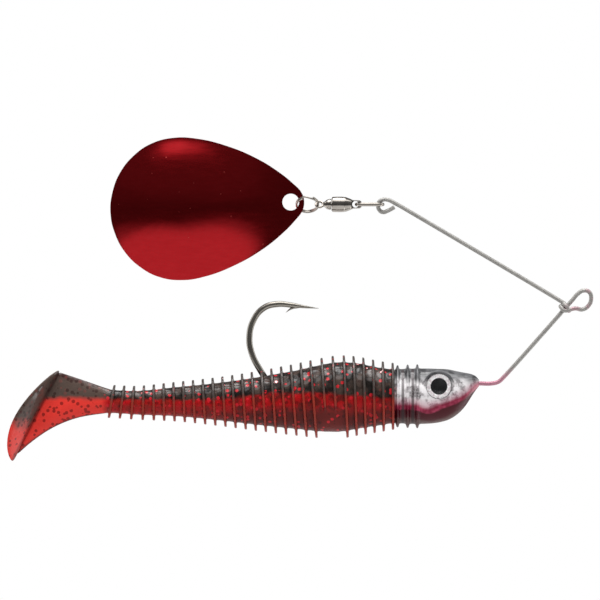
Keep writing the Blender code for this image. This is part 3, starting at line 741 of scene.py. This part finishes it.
def body_ring(k, shift=0.0, share=0.0):
    """A ring shifted along from rib k, raked like it and this share of its height proud."""
    rake = between(k, rib_rakes)[0]
    wider = WIDER_BY * (min(max(k, WIDE_FROM), WIDE_TO) - WIDE_FROM)
    x = RIB_TOP_X + RIB_PITCH * k + wider + rake / 2 + shift
    z, half_w, half_h, rib_h = between(x, body_shape)
    tilt = math.atan(-rake / (2 * half_h + 2 * rib_h))
    return (x, z, half_w + rib_h * share, half_h + rib_h * share, tilt)


web_top = [(-114.3, -20.6), (-117.1, -19.6), (-121.0, -18.25), (-125.2, -16.85)]
web_foot = [(-114.3, -27.1), (-120.0, -28.0), (-126.0, -30.4), (-131.4, -34.1), (-135.2, -37.6)]


def along(points, share):
    """The point at this share of the way along a smooth curve through points."""
    found = between(share, {i / (len(points) - 1): (p[0], p[1], 0) for i, p in enumerate(points)})
    return found.x, found.y


def web_ring(share):
    """A ring of the flat web, leaning more and more towards the paddle's slope."""
    top_x, top_z = along(web_top, share)
    foot_x, foot_z = along(web_foot, share)
    half_h = math.hypot(top_x - foot_x, top_z - foot_z) / 2
    tilt = math.atan2(top_x - foot_x, top_z - foot_z)
    return ((top_x + foot_x) / 2, (top_z + foot_z) / 2, 1.6 - 0.35 * share, half_h, tilt)


rib_section = [(-0.48, 0), (-0.34, 0.08), (-0.3, 0.55), (-0.3, 0.96), (-0.2, 1.05)]
rib_section += [(-shift, share) for shift, share in reversed(rib_section)]
rings = [web_ring(1 - i / 9) for i in range(10)]
for k in range(RIBS):
    rings += [body_ring(k, shift, share) for shift, share in rib_section]
shad = ring_run(rings, 36)
for vertex in shad.data.vertices:
    x, z = vertex.co.x / MM, vertex.co.z / MM
    for k in bare_belly_ribs:
        rib_x, middle, half_w, half_h, tilt = body_ring(k)
        low = (z - middle) / half_h < -0.35
        if low and abs(x - rib_x - math.tan(tilt) * (z - middle)) < 0.48:
            reach = math.hypot(vertex.co.y / MM / half_w, (z - middle) / half_h)
            vertex.co.y /= reach
            vertex.co.z = (middle + (z - middle) / reach) * MM
rounded(shad, 1)

PADDLE_TOP, PADDLE_FOOT = Vector((-124.1, 0, -16.9)), Vector((-135.3, 0, -38.6))
PADDLE_HALF_W, PADDLE_SWEEP, PADDLE_T = 7.2, 4.1, 1.4
paddle_long = (PADDLE_FOOT - PADDLE_TOP).length / 2
paddle_tilt = math.atan2(PADDLE_TOP.x - PADDLE_FOOT.x, PADDLE_TOP.z - PADDLE_FOOT.z)
plate = [(0.0, 0.03), (0.0, 0.3), (0.0, 0.6), (0.0, 0.85), (0.0, 0.97)]
plate += [(0.2, 1.0), (0.5, 0.99), (0.75, 0.85), (0.9, 0.6), (0.97, 0.3), (1.0, 0.03)]
paddle = ring_run(
    [(-PADDLE_T * x, 0, PADDLE_HALF_W * s, paddle_long * s, 0.0) for x, s in plate], 40
)
for vertex in paddle.data.vertices:
    down = 0.5 - vertex.co.z / MM / paddle_long / 2
    vertex.co.y *= 0.75 + 0.45 * down
    vertex.co.x -= PADDLE_SWEEP * MM * (abs(vertex.co.y) / MM / PADDLE_HALF_W) ** 1.5
rounded(paddle, 1)
paddle.rotation_euler.y = paddle_tilt
paddle.location = (PADDLE_TOP + PADDLE_FOOT) / 2 * MM
bpy.ops.object.select_all(action="DESELECT")
paddle.select_set(True)
bpy.ops.object.transform_apply(location=True, rotation=True, scale=True)
carve(shad, paddle, "UNION")


def rib_share(co):
    """How far a point stands out of the core, from 0 in the grooves to 1 at a rib's edge."""
    x, y, z = co / MM
    if x < RIB_TOP_X - 2.0:
        return 0.0
    middle, half_w, half_h, rib_h = between(x, body_shape)
    reach = math.hypot(y / half_w, (z - middle) / half_h)
    return min(max((reach - 1) * (half_w + half_h) / 2 / rib_h, 0), 1)


shares = shad.data.attributes.new("rib", "FLOAT", "POINT")
shares.data.foreach_set("value", [rib_share(v.co) for v in shad.data.vertices])
PADDLE_SEAM_DROP = 6.3
SHADOW_RED = (0.03, 0.009, 0.008)


def soft_plastic_finish():
    """Two colours of clear soft plastic, with red, black and silver glitter in them.
    Painted light brightens the rib tips and makes the red glitter and the thin red tail glow;
    painted shade darkens the rib sides, the tail's thin edges and the fold at the paddle.
    """
    finish, nodes, shader = new_finish(
        "soft_plastic", Coat_Roughness=0.07, Specular_IOR_Level=0.12, Emission_Strength=0.12
    )
    x, y, z = nodes.place()
    rib = nodes.add("ShaderNodeAttribute", {"attribute_name": "rib"}, output="Fac")
    drift = nodes.noise(300, detail=2) - 0.5
    cloud = nodes.noise(420, detail=3)
    thin = x.rise(-112.5, -114.5)
    slim = x.rise(-80.0, -100.0)
    seam = -23.6 + 1.7 * x.rise(-90.0, -70.0) - 1.1 * x.rise(-66.0, -47.0)
    above = z - seam + drift * 1.4
    slope = (PADDLE_FOOT - PADDLE_TOP).normalized()
    past_fold = (x - PADDLE_TOP.x) * slope.z - (z - PADDLE_TOP.z) * slope.x
    on_paddle = past_fold.rise(0.0, 0.8)
    paddle_share = (above + PADDLE_SEAM_DROP + 5.0 * drift).rise(-2.4, 2.4)
    tail_share = above.rise(-0.7, 1.0) * (1 - on_paddle) + paddle_share * on_paddle
    smoke_share = above.rise(-0.6, 0.3) * (1 - thin) + tail_share * thin
    # painted shade where the thin tail is seen edge-on: along the web's top and bottom and down the
    # paddle's middle
    painted_edge_shade = thin * abs(y).rise(0.8, 0.3)
    # painted shadow along the fold where the web meets the paddle
    painted_fold_shadow = thin * abs(past_fold - 0.3).rise(0.7, 0.1)
    smoke = nodes.mix(cloud.rise(0.4, 0.62), (0.009, 0.007, 0.006), (0.055, 0.036, 0.029))
    smoke = nodes.mix(thin, smoke, (0.073, 0.050, 0.041))
    deep = nodes.mix(slim, (0.125, 0.012, 0.010), (0.27, 0.014, 0.010))
    lit = above.rise(-5.6, -2.2) * cloud.rise(0.36, 0.56)
    red = nodes.mix(lit, deep, (0.40, 0.008, 0.010))
    red = nodes.mix(thin, red, (0.62, 0.036, 0.027))
    poured = nodes.mix(smoke_share, red, smoke)
    poured = nodes.mix(painted_edge_shade * 0.85, poured, SHADOW_RED)
    poured = nodes.mix(painted_fold_shadow * 0.55, poured, SHADOW_RED)
    # painted light on the rib tips: orange-brown below the seam and grey above, lighter than the
    # plastic between
    rib_tip_light = nodes.mix(above.rise(-1.5, 1.0), (0.29, 0.036, 0.022), (0.058, 0.048, 0.043))
    # painted shade on the sides of the ribs, beside their tips
    shaded_rib_sides = nodes.mix(rib.rise(0.05, 0.4) * 0.6, poured, (0.012, 0.004, 0.004))
    ribbed = nodes.mix(rib.rise(0.5, 0.8) * 0.9, shaded_rib_sides, rib_tip_light)
    far = nodes.cells(880.0)
    pick = nodes.add("ShaderNodeSeparateColor", Color=nodes.cells(880.0, "Color"))
    grain = far.rise(0.42, 0.33) * (1 - 0.7 * rib.rise(0.2, 0.6))
    red_grain = grain * (pick - 0.12 * above.rise(0.0, 1.5)).rise(0.6, 0.61) * (1 - 0.9 * thin)
    dark_grain = grain * (pick - 0.36 * thin).rise(0.36, 0.35)
    silver_grain = far.rise(0.26, 0.2) * pick.rise(0.965, 0.975) * above.rise(-1.0, 1.0)
    speckled = nodes.mix(red_grain * 0.8, ribbed, (0.52, 0.014, 0.024))
    speckled = nodes.mix(dark_grain * (0.45 + 0.15 * thin), speckled, (0.02, 0.004, 0.004))
    speckled = nodes.mix(silver_grain, speckled, (0.85, 0.80, 0.78))
    # painted light: the red glitter and the thin red tail glow through emission, as if lit from within
    painted_glow = red_grain.or_more(thin * (1 - smoke_share))
    painted_glow_colour = nodes.mix(painted_glow, (0, 0, 0), speckled)
    lead(
        shader,
        nodes,
        Base_Color=speckled,
        Metallic=silver_grain * 0.5,
        Roughness=0.3 + 0.2 * nodes.noise(500, detail=2),
        Coat_Weight=0.08 + 0.9 * above.rise(-1.0, 2.0) * nodes.noise(620, detail=2).rise(0.38, 0.58),
        Emission_Color=painted_glow_colour,
        Normal=nodes.add(
            "ShaderNodeBump", Height=nodes.noise(700, detail=3), Strength=0.45, Distance=0.0003
        ),
    )
    return finish


settle(
    shad, "poured_shad", soft_plastic_finish(), None, "soft_plastic", "soft_body", "soft_tail"
)
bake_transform(shad)


# ---------------------------------------------------------------------------------------------
# Swivel ring. A solid oval ring of bright nickel wire, soldered shut, which lies level between
# the arm's open loop and the barrel's cross hole.

SWIVEL_Z = 22.75
CROSS_HOLE_X, CROSS_HOLE_R = -53.9, 0.78
RING_WIRE_R, RING_HALF_W = 0.45, 1.6
BARREL_PLAY, LOOP_PLAY = 0.06, 0.12
ring_left = CROSS_HOLE_X + CROSS_HOLE_R - RING_WIRE_R - BARREL_PLAY
ring_right = ARM_LOOP_X + WIRE_R + RING_WIRE_R + LOOP_PLAY
ring_path = []
for centre_x, start_deg in ((ring_right - RING_HALF_W, -90), (ring_left + RING_HALF_W, 90)):
    for i in range(9):
        turn = math.radians(start_deg + 180 * i / 8)
        ring_path.append(
            (centre_x + RING_HALF_W * math.cos(turn), RING_HALF_W * math.sin(turn), SWIVEL_Z)
        )


def nickel_finish():
    """Bright nickel plate with faint tumbling marks."""
    finish, nodes, shader = new_finish("bright_nickel", Metallic=1.0)
    cloud = nodes.noise(700, detail=3)
    lead(
        shader,
        nodes,
        Base_Color=nodes.mix(cloud, (0.34, 0.31, 0.28), (0.58, 0.54, 0.49)),
        Roughness=0.09 + 0.13 * cloud,
        Normal=nodes.add("ShaderNodeBump", Height=cloud, Strength=0.06, Distance=0.0001),
    )
    return finish


nickel = nickel_finish()
arm_ring = bent_wire(ring_path, RING_WIRE_R, closed=True, sides=6, steps=4)
settle(arm_ring, "solid_ring", nickel, "ring", "bright_nickel", "arm_ring")


# ---------------------------------------------------------------------------------------------
# Swivel barrel. Turned from nickel-plated brass: a chamber for the ball race at the left, a
# tapered neck, and a flattened tongue with the cross hole that the solid ring runs through.

BARREL_X = -59.6
BARREL_R = 1.85
CHAMBER_R, BORE_R = 1.42, 0.62
barrel_profile = [
    (0.0, 1.42),
    (0.04, 1.5),
    (0.2, BARREL_R - 0.1),
    (0.34, BARREL_R - 0.04),
    (1.2, BARREL_R),
    (2.4, BARREL_R),
    (3.0, BARREL_R - 0.04),
    (3.1, BARREL_R - 0.12),
    (3.2, BARREL_R - 0.12),
    (3.32, BARREL_R - 0.06),
    (3.8, 1.6),
    (4.4, 1.38),
    (5.1, 1.04),
    (6.7, 0.98),
    (7.05, 0.78),
    (7.22, 0.4),
]
barrel = ring_run([(BARREL_X + x, SWIVEL_Z, r, r, 0.0) for x, r in barrel_profile], 48)
chamber = rod((BARREL_X + 0.3, 0, SWIVEL_Z), (BARREL_X + 3.05, 0, SWIVEL_Z), CHAMBER_R)
carve(barrel, chamber)
carve(barrel, rod((BARREL_X - 1, 0, SWIVEL_Z), (BARREL_X + 1, 0, SWIVEL_Z), BORE_R))
for side in (-1, 1):  # two flats that leave a tongue 1.2 mm thick
    bpy.ops.object.select_all(action="DESELECT")
    bpy.ops.mesh.primitive_cube_add(
        size=MM, location=(-52.6 * MM, side * 1.8 * MM, SWIVEL_Z * MM), scale=(4.6, 2.4, 7)
    )
    bpy.ops.object.transform_apply(location=True, rotation=True, scale=True)
    carve(barrel, bpy.context.object)
cross_hole = rod((CROSS_HOLE_X, -3, SWIVEL_Z), (CROSS_HOLE_X, 3, SWIVEL_Z), CROSS_HOLE_R)
carve(barrel, cross_hole)
apply_step(barrel, "BEVEL", width=0.06 * MM, segments=2, limit_method="ANGLE", angle_limit=0.7)
settle(barrel, "turned_barrel", nickel, "barrel", "bright_nickel", "swivel_barrel", sharp=30)


# ---------------------------------------------------------------------------------------------
# Ball race. Seven hard steel balls roll between a flat washer and the spindle's flange inside
# the barrel, so that the blade spins freely under load.


def ball_steel_finish():
    """Hard polished steel under a film of oil."""
    finish, nodes, shader = new_finish("ball_steel", Metallic=1.0, Coat_Weight=0.4)
    film = nodes.noise(900, detail=2)
    lead(
        shader,
        nodes,
        Base_Color=nodes.mix(film, (0.58, 0.58, 0.60), (0.74, 0.74, 0.76)),
        Roughness=0.06 + 0.1 * film,
    )
    return finish


ball_steel = ball_steel_finish()
for name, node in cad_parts.items():
    if name.startswith("bearing_ball"):
        node.data.materials.clear()
        node.data.materials.append(ball_steel)
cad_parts["thrust_washer"].data.materials.clear()
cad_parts["thrust_washer"].data.materials.append(nickel)


# ---------------------------------------------------------------------------------------------
# Spindle. The turning half of the swivel: a flange behind the balls, a thin shaft through the
# barrel's end, a domed collar outside it and a small soldered eye.

SPINDLE_EYE_X, SPINDLE_EYE_R, SPINDLE_EYE_WIRE_R = -62.45, 0.86, 0.29
LINK_TILT = math.radians(50)
flange_x = BARREL_X + 0.64 + 0.7
collar_x = BARREL_X - 0.08
spindle_profile = [
    (flange_x + 0.6, 1.1),
    (flange_x + 0.55, 1.15),
    (flange_x, 1.25),
    (flange_x - 0.01, 0.42),
    (collar_x, 0.42),
    (collar_x - 0.01, 1.18),
    (collar_x - 0.06, 1.26),
    (collar_x - 0.25, 1.32),
    (collar_x - 0.55, 1.3),
    (collar_x - 0.62, 1.2),
    (collar_x - 0.7, 1.2),
    (collar_x - 0.9, 1.18),
    (collar_x - 1.25, 0.95),
    (collar_x - 1.6, 0.64),
    (collar_x - 1.95, 0.5),
]
spindle = ring_run([(x, SWIVEL_Z, r, r, 0.0) for x, r in spindle_profile], 40)
bpy.ops.object.select_all(action="DESELECT")
bpy.ops.mesh.primitive_torus_add(
    major_segments=48,
    minor_segments=16,
    major_radius=SPINDLE_EYE_R * MM,
    minor_radius=SPINDLE_EYE_WIRE_R * MM,
    location=(SPINDLE_EYE_X * MM, 0, SWIVEL_Z * MM),
    rotation=(LINK_TILT, 0, 0),
)
bpy.ops.object.transform_apply(location=True, rotation=True, scale=True)
carve(spindle, bpy.context.object, "UNION")
settle(spindle, "turned_spindle", nickel, "spindle", "bright_nickel", "spindle", sharp=30)


# ---------------------------------------------------------------------------------------------
# Split ring. Two close turns of hard flat-drawn wire, which the blade and the spindle's eye are
# wound on to.

SPLIT_R, SPLIT_WIRE_R = 2.6, 0.22
TURN_STEP_DEG = 30
LAYER = SPLIT_WIRE_R + 0.02
split_x = SPINDLE_EYE_X - SPINDLE_EYE_R + SPINDLE_EYE_WIRE_R + SPLIT_WIRE_R + 0.05 - SPLIT_R
split_path = []
for i in range(57):
    degrees = (360 - TURN_STEP_DEG) * (i / 28 - 1)
    turn = math.radians(degrees + 90)
    layer = LAYER * max(-1, min(1, degrees / (TURN_STEP_DEG / 2)))
    up_ring = SPLIT_R * math.sin(turn)
    split_path.append(
        (
            split_x + SPLIT_R * math.cos(turn),
            layer * math.cos(LINK_TILT) - up_ring * math.sin(LINK_TILT),
            SWIVEL_Z + layer * math.sin(LINK_TILT) + up_ring * math.cos(LINK_TILT),
        )
    )
split_ring = bent_wire(split_path, SPLIT_WIRE_R, sides=4, steps=3)
settle(split_ring, "wound_split_ring", nickel, "link", "bright_nickel", "split_ring")


# ---------------------------------------------------------------------------------------------
# Blade. Stamped from thin brass, cupped, drilled for the split ring, polished and dipped in
# clear red lacquer, so that the metal shines through the colour.

HOLE = Vector((-69.3, 0, 23.3))
HOLE_R = 2.0
BLADE_TILT = math.radians(3.5)
TIP_TO_HOLE = 3.2
CUP_AT, CUP_DEPTH, BLADE_T = 28.0, 4.8, 0.7
FLAT_TO = 22.0
half_outline = [
    (0.0, 0.0),
    (0.55, 2.2),
    (2.4, 4.4),
    (5.6, 7.3),
    (10.6, 10.8),
    (17.7, 14.25),
    (24.8, 16.4),
    (30.0, 16.9),
    (35.3, 15.9),
    (39.6, 13.4),
    (43.2, 9.5),
    (45.3, 5.0),
    (46.1, 0.0),
]
to_end = Vector((-math.cos(BLADE_TILT), 0, -math.sin(BLADE_TILT)))
to_edge = Vector((-math.sin(BLADE_TILT), 0, math.cos(BLADE_TILT)))
outline = half_outline + [(s, -w) for s, w in half_outline[-2:0:-1]]
cup_middle = (HOLE + to_end * CUP_AT) * MM
bpy.ops.object.select_all(action="DESELECT")
bpy.ops.curve.primitive_bezier_circle_add(location=(0, 0, 0))
blade = bpy.context.object
rim = blade.data.splines[0]
rim.bezier_points.add(len(outline) - len(rim.bezier_points))
for knot, (s, w) in zip(rim.bezier_points, outline):
    knot.co = (HOLE + to_end * (s - TIP_TO_HOLE) + to_edge * w) * MM
    knot.handle_left_type = "AUTO"
    knot.handle_right_type = "AUTO"
blade.data.dimensions = "3D"
blade.data.resolution_u = 8
bpy.ops.object.convert(target="MESH")
blade = bpy.context.object
bpy.ops.object.mode_set(mode="EDIT")
bpy.ops.mesh.select_all(action="SELECT")
share_before, depth_before = 1.0, 0.0
for i in range(1, 24):
    share = math.cos(math.radians(90 * i / 24))
    depth = CUP_DEPTH * (1 - share**2) ** 1.15
    bpy.ops.mesh.extrude_region_move(
        TRANSFORM_OT_translate={"value": (0, (depth_before - depth) * MM, 0)}
    )
    ratio = share / share_before
    bpy.ops.transform.resize(value=(ratio, 1, ratio), center_override=cup_middle)
    share_before, depth_before = share, depth
bpy.ops.mesh.extrude_region_move(
    TRANSFORM_OT_translate={"value": (0, (depth_before - CUP_DEPTH) * MM, 0)}
)
bpy.ops.mesh.merge(type="CENTER")
bpy.ops.mesh.select_all(action="SELECT")
bpy.ops.mesh.normals_make_consistent(inside=False)
bpy.ops.object.mode_set(mode="OBJECT")
for vertex in blade.data.vertices:
    share = ((vertex.co / MM - HOLE).dot(to_end) + TIP_TO_HOLE) / FLAT_TO
    share = min(max(share, 0), 1)
    vertex.co.y *= share * share * (3 - 2 * share)
apply_step(blade, "SOLIDIFY", thickness=BLADE_T * MM, offset=0.0)
apply_step(
    blade, "BEVEL", width=0.16 * MM, segments=3, limit_method="ANGLE", angle_limit=0.9
)
hole = rod((HOLE.x, -6, HOLE.z), (HOLE.x, 4, HOLE.z), HOLE_R, 64)
carve(blade, hole)


def candy_red_finish():
    """Clear red lacquer over polished metal, with fine buffing lines and a little dust."""
    finish, nodes, shader = new_finish("candy_red", Metallic=1.0, Coat_Weight=0.1)
    buffed = nodes.noise(1.0, detail=3, where=nodes.stretched((260, 1500, 1500)))
    dust = nodes.cells(330.0)
    speck = dust.rise(0.07, 0.03)
    lacquer = nodes.mix(buffed, (0.36, 0.007, 0.011), (0.46, 0.014, 0.019))
    lead(
        shader,
        nodes,
        Base_Color=nodes.mix(speck * 0.5, lacquer, (0.6, 0.12, 0.10)),
        Roughness=0.13 + 0.08 * buffed + 0.25 * speck,
        Normal=nodes.add("ShaderNodeBump", Height=buffed, Strength=0.03, Distance=0.0001),
    )
    return finish


settle(blade, "cupped_blade", candy_red_finish(), "blade", "candy_red", "blade", sharp=35)
